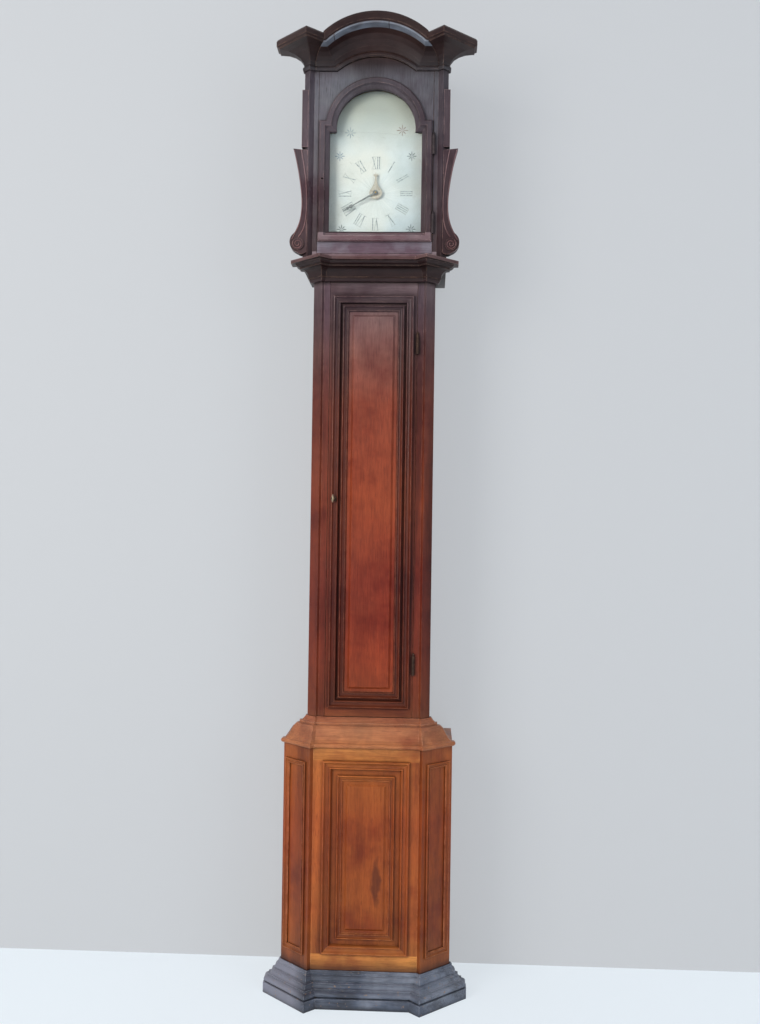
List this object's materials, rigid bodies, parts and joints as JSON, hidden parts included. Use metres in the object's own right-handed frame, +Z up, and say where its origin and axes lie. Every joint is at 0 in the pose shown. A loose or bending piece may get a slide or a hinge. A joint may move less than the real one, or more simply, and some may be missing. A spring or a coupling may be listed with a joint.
{
  "type": "longcase clock",
  "caption": "Tall floor-standing pendulum clock with canted corners, a panelled trunk door, and a sliding hood with an arched glazed door over a painted dial.",
  "frame": {"origin": "On the floor, in the middle of the overall width and depth; the wall is at +Y and the front faces -Y.", "axes": "+X to the viewer's right, +Y back to the wall, +Z up, the clock's height."},
  "size_m": [0.516, 0.352, 2.463],
  "materials": {
    "ebonised": "worn black stain",
    "base_walnut": "waxed",
    "trunk_walnut": "waxed",
    "hood_walnut": "waxed",
    "pine": "unfinished",
    "brass": "aged",
    "steel": "polished",
    "iron": "plain",
    "glass": "old glass",
    "dial_paint": "painted",
    "rope": "twisted",
    "bell_metal": "turned"
  },
  "bodies": {
    "case": {"plinth": "ebonised", "base_front_frame": "base_walnut", "base_front_panel": "base_walnut", "base_panel_moulding": "base_walnut", "base_canted_boards": "base_walnut", "base_canted_mouldings": "base_walnut", "base_sides": "base_walnut", "base_floor": "pine", "backboard": "pine", "cap_moulding": "base_walnut", "trunk_front_frame": "trunk_walnut", "trunk_canted_boards": "trunk_walnut", "trunk_sides": "trunk_walnut", "trunk_hinge_pins": "brass", "waist_moulding": "trunk_walnut", "seat_board": "pine", "front_plate": "brass", "back_plate": "brass", "dial_plate": "dial_paint", "tail_line": "rope", "bell": "bell_metal", "bell_stand": "steel", "weight_line": "rope"},
    "trunk_door": {"trunk_door_frame": "trunk_walnut", "trunk_door_panel": "trunk_walnut", "trunk_door_moulding": "trunk_walnut", "trunk_door_fittings": "brass"},
    "trunk_bolt": {"trunk_lock_bolt": "steel"},
    "key": {"trunk_key": "steel"},
    "hood": {"hood_front_frame": "hood_walnut", "hood_canted_boards": "hood_walnut", "hood_sides": "hood_walnut", "hood_frieze": "hood_walnut", "hood_bonnet": "hood_walnut", "cornice_front": "hood_walnut", "cornice_returns": "hood_walnut", "hood_side_strips": "hood_walnut", "hood_consoles": "hood_walnut", "hood_hinge_pins": "steel"},
    "hood_door": {"hood_door_frame": "hood_walnut", "hood_door_moulding": "hood_walnut", "hood_glass": "glass", "hood_door_fittings": "steel"},
    "hood_bolt": {"hood_lock_bolt": "steel"},
    "centre_arbor": {"centre_wheel": "brass", "cannon_pinion": "brass", "minute_hand": "brass"},
    "hour_pipe": {"hour_wheel": "brass", "hour_hand": "brass"},
    "motion_wheel": {"minute_wheel": "brass"},
    "great": {"great_wheel": "brass"},
    "sheave": {"rope_sheave": "brass"},
    "third": {"third_wheel": "brass"},
    "escape": {"escape_wheel": "brass"},
    "anchor": {"anchor_crutch": "steel"},
    "pendulum": {"pendulum_rod": "steel", "pendulum_bob": "brass"},
    "driving_weight": {"weight": "iron"},
    "bell_hammer": {"hammer": "steel"}
  },
  "joints": [
    {"name": "trunk_door_hinge", "type": "hinge", "parent": "case", "child": "trunk_door", "pos_m": [0.1126, -0.039, 1.257], "axis": [0, 0, 1], "range_deg": [0, 110]},
    {"name": "trunk_key_turn", "type": "hinge", "parent": "trunk_door", "child": "key", "pos_m": [-0.095, -0.035, 1.257], "axis": [0, 1, 0], "range_deg": [0, 90]},
    {"name": "trunk_bolt_slide", "type": "slide", "parent": "trunk_door", "child": "trunk_bolt", "axis": [-1, 0, 0], "range_m": [0, 0.0089]},
    {"name": "hood_slide", "type": "slide", "parent": "case", "child": "hood", "axis": [0, -1, 0], "range_m": [0, 0.3]},
    {"name": "hood_door_hinge", "type": "hinge", "parent": "hood", "child": "hood_door", "pos_m": [0.1464, -0.07, 2.064], "axis": [0, 0, 1], "range_deg": [0, 100]},
    {"name": "hood_bolt_slide", "type": "slide", "parent": "hood_door", "child": "hood_bolt", "axis": [-1, 0, 0], "range_m": [0, 0.008]},
    {"name": "minute_turn", "type": "hinge", "parent": "case", "child": "centre_arbor", "pos_m": [0, 0, 2.038], "axis": [0, 1, 0], "continuous": true},
    {"name": "hour_turn", "type": "hinge", "parent": "case", "child": "hour_pipe", "pos_m": [0, 0, 2.038], "axis": [0, 1, 0], "continuous": true},
    {"name": "motion_wheel_turn", "type": "hinge", "parent": "case", "child": "motion_wheel", "pos_m": [-0.01966, 0, 2.02423], "axis": [0, 1, 0], "continuous": true},
    {"name": "great_turn", "type": "hinge", "parent": "case", "child": "great", "pos_m": [0, 0, 1.9925], "axis": [0, 1, 0], "continuous": true},
    {"name": "third_turn", "type": "hinge", "parent": "case", "child": "third", "pos_m": [0.017, 0, 2.06745], "axis": [0, 1, 0], "continuous": true},
    {"name": "escape_turn", "type": "hinge", "parent": "case", "child": "escape", "pos_m": [0, 0, 2.09689], "axis": [0, 1, 0], "continuous": true},
    {"name": "weight_travel", "type": "slide", "parent": "case", "child": "driving_weight", "axis": [0, 0, 1], "range_m": [0, 1.1], "deforming": ["weight_line"]},
    {"name": "sheave_turn", "type": "hinge", "parent": "case", "child": "sheave", "pos_m": [0, 0, 1.9925], "axis": [0, 1, 0], "continuous": true},
    {"name": "pendulum_swing", "type": "hinge", "parent": "case", "child": "pendulum", "pos_m": [0, 0, 2.12489], "axis": [0, 1, 0], "range_deg": [-3, 3]},
    {"name": "anchor_rock", "type": "hinge", "parent": "case", "child": "anchor", "pos_m": [0, 0, 2.12489], "axis": [0, 1, 0], "range_deg": [-3, 3]},
    {"name": "hammer_lift", "type": "hinge", "parent": "case", "child": "bell_hammer", "pos_m": [-0.046, 0, 2.11689], "axis": [0, -1, 0], "range_deg": [0, 12], "stiffness_Nm_per_rad": 0.05, "springref_deg": -17.19}
  ],
  "couplings": [
    {"joint": "trunk_key_turn", "follows": "trunk_bolt_slide", "rad_per_m": 176.4},
    {"joint": "hour_turn", "follows": "minute_turn", "ratio": 0.083333},
    {"joint": "motion_wheel_turn", "follows": "minute_turn", "ratio": -0.33333},
    {"joint": "great_turn", "follows": "minute_turn", "ratio": -0.16667},
    {"joint": "third_turn", "follows": "minute_turn", "ratio": -7.5},
    {"joint": "escape_turn", "follows": "minute_turn", "ratio": 56.25},
    {"joint": "sheave_turn", "follows": "weight_travel", "rad_per_m": 26.56},
    {"joint": "anchor_rock", "follows": "pendulum_swing", "ratio": 1}
  ]
}
